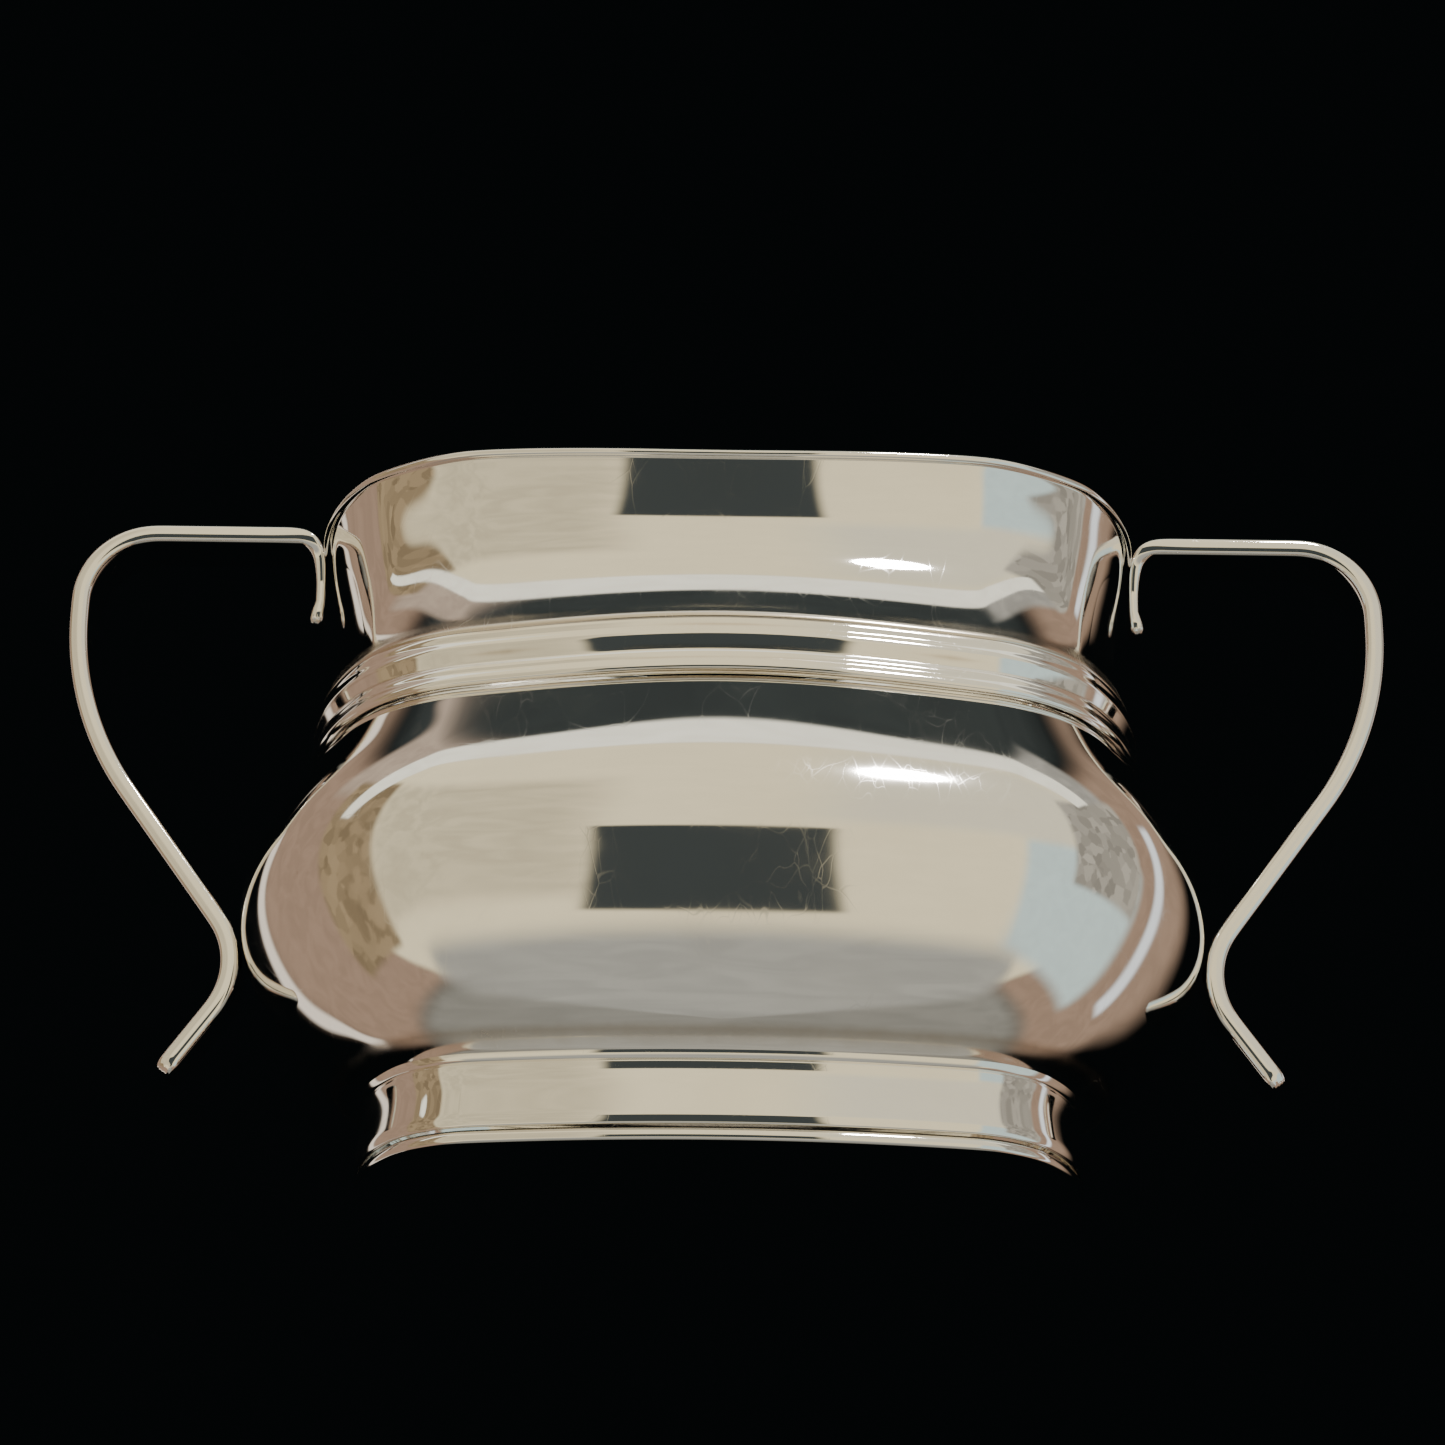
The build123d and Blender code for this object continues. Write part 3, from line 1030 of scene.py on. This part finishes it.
@dataclass
class Studio:
    """The pale floor, the soft light of the room and the camera."""

    camera_at: tuple[float, float, float] = (0.0, -0.370, -0.086)
    look_up: float = 21.5
    roll: float = 0.75
    lens: float = 80.97
    shift: float = -0.0021
    floor_size: float = 6.0
    pad_depth: float = 0.25 * MM
    key_azimuth: float = 25.0
    key_elevation: float = 50.0
    key_distance: float = 1.1
    key_size: float = 0.13
    key_power: float = 6.0

    def room(self) -> None:
        """Surround the bowl with a dark room, a pale front wall and a bright ceiling light."""
        world = bpy.data.worlds.new("studio")
        bench = Bench(world)
        way = bench.node("TexCoord").outputs["Generated"]
        along = bench.node("SeparateXYZ", {0: way}).outputs
        front = bench.math("MULTIPLY", along["Y"], -1.0)
        azimuth = bench.math("DEGREES", bench.math("ARCTAN2", along["X"], front))
        elevation = bench.math("DEGREES", bench.math("ARCSINE", along["Z"]))
        lean = bench.math("DEGREES", bench.math("ARCSINE", along["X"]))
        pitch = bench.math("DEGREES", bench.math("ARCTAN2", along["Z"], front))
        cloud = bench.node("TexNoise", {"Vector": way, "Scale": 7.0, "Detail": 5.0, "Distortion": 1.2})
        stacked = bench.node("Mapping", {"Vector": way, "Scale": (1.0, 1.0, 0.6)})
        blocks = bench.node(
            "TexVoronoi", {"Vector": stacked.outputs[0], "Scale": 13.0}, distance="MANHATTAN"
        )
        shades = bench.node("SeparateColor", {0: blocks.outputs["Color"]}).outputs[0]
        cloudy = bench.ramp(cloud.outputs["Fac"], 0.3, 0.7)
        colour = ROOM_DARK
        for panel in ROOM:
            sideways, upwards = (lean, pitch) if panel.hung else (azimuth, elevation)
            mask = bench.math(
                "MULTIPLY",
                bench.within(sideways, *panel.azimuth, panel.soft),
                bench.within(upwards, *panel.elevation, panel.soft),
            )
            tone = panel.colour
            if panel.mottle:
                share = bench.math("MULTIPLY", shades if panel.blocks else cloudy, panel.mottle)
                tone = bench.blend(share, panel.colour, tuple(0.45 * part for part in panel.colour))
            colour = bench.blend(mask, colour, tone)
        seen = bench.node("LightPath").outputs["Is Camera Ray"]
        colour = bench.blend(seen, colour, ROOM_DARK)
        shine = bench.node("Background", {"Color": colour, "Strength": 1.0})
        bench.node("OutputWorld", {"Surface": shine.outputs[0]})
        bpy.context.scene.world = world

    def floor(self) -> None:
        """Lay the pale floor under the foot; it is see-through from below."""
        shape = bmesh.new()
        bmesh.ops.create_grid(shape, x_segments=2, y_segments=2, size=self.floor_size / 2)
        mesh = bpy.data.meshes.new("floor")
        shape.to_mesh(mesh)
        shape.free()
        floor = bpy.data.objects.new("floor", mesh)
        bpy.context.scene.collection.objects.link(floor)
        paint = bpy.data.materials.new("floor_paint")
        bench = Bench(paint)
        top = bench.node("BsdfPrincipled", {"Base Color": (0.80, 0.78, 0.75, 1.0), "Roughness": 0.65})
        under = bench.node("BsdfTransparent")
        side = bench.node("NewGeometry").outputs["Backfacing"]
        both = bench.node("MixShader", {0: side, 1: top.outputs[0], 2: under.outputs[0]})
        bench.node("OutputMaterial", {"Surface": both.outputs[0]})
        mesh.materials.append(paint)
        floor.visible_glossy = False

    def pad(self) -> None:
        """Lay a dark sheet just under the floor: painted shade that keeps the foot's hollow dark."""
        rim = [Vector((-3.6 * MM, 0, -self.pad_depth)), Vector((-20 * MM, 0, -self.pad_depth))]
        shape = turned(rim, 96, closed=False)
        OUTLINE.carry(shape)
        inner = [e for e in shape.edges if e.is_boundary and e.verts[0].co.length < 30 * MM]
        bmesh.ops.holes_fill(shape, edges=inner, sides=0)
        mesh = bpy.data.meshes.new("pad")
        shape.to_mesh(mesh)
        shape.free()
        pad = bpy.data.objects.new("pad", mesh)
        bpy.context.scene.collection.objects.link(pad)
        shade_paint = bpy.data.materials.new("painted_shade_pad")
        bench = Bench(shade_paint)
        # the sheet glows with the room's dark colour and is hidden from reflections: painted shade
        # under the foot
        dull = bench.node("Emission", {"Color": (*ROOM_DARK, 1.0)})
        bench.node("OutputMaterial", {"Surface": dull.outputs[0]})
        mesh.materials.append(shade_paint)
        pad.visible_glossy = False

    def lamp(self, name: str, at: Vector, to: Vector, size: float, colour: tuple, power: float) -> None:
        """Hang a soft round lamp.

        Args:
            name: its name.
            at: its centre.
            to: the point it faces.
            size: its width.
            colour: its colour.
            power: its power in watts.
        """
        data = bpy.data.lights.new(name, "AREA")
        data.shape = "DISK"
        data.size = size
        data.color = colour
        data.energy = power
        lamp = bpy.data.objects.new(name, data)
        lamp.location = at
        lamp.rotation_euler = (to - at).to_track_quat("-Z", "Y").to_euler()
        bpy.context.scene.collection.objects.link(lamp)

    def camera(self) -> None:
        """Set up the camera, low in front of the bowl."""
        scene = bpy.context.scene
        data = bpy.data.cameras.new("camera")
        data.lens = self.lens
        data.sensor_width = 36.0
        data.shift_x = self.shift
        data.clip_start = 0.01
        camera = bpy.data.objects.new("camera", data)
        aim = Euler((radians(90 + self.look_up), 0, 0)).to_matrix()
        turn = aim @ Matrix.Rotation(radians(self.roll), 3, "Z")
        camera.matrix_world = Matrix.Translation(self.camera_at) @ turn.to_4x4()
        scene.collection.objects.link(camera)
        scene.camera = camera

    def build(self) -> None:
        """Set up the room, the floor, the lamps and the camera."""
        self.room()
        self.floor()
        self.pad()
        middle = Vector((0, 0, 45 * MM))
        side, up = radians(self.key_azimuth), radians(self.key_elevation)
        key = Vector((sin(side) * cos(up), -cos(side) * cos(up), sin(up)))
        at = middle + self.key_distance * key
        self.lamp("key_light", at, middle, self.key_size, (1.0, 0.97, 0.92), self.key_power)
        self.camera()


def main() -> None:
    """Build the bowl and its studio."""
    logging.basicConfig(level=logging.INFO, format="%(name)s: %(message)s")
    levels = Levels.of_frame()
    body_silver = PolishedSilver("body_silver").material()
    foot_silver = PolishedSilver("foot_silver").material()
    collar_silver = PolishedSilver("collar_silver").material()
    moulding_silver = PolishedSilver("moulding_silver").material()
    handle_silver = PolishedSilver("handle_silver").material()
    Studio().build()
    Body(levels, body_silver).build()
    Foot(levels, foot_silver).build()
    Neck(levels, moulding_silver).build()
    Collar(levels, collar_silver).build()
    StrapHandle(levels, handle_silver, 1).build()
    StrapHandle(levels, handle_silver, -1).build()


if __name__ == "__main__":
    main()
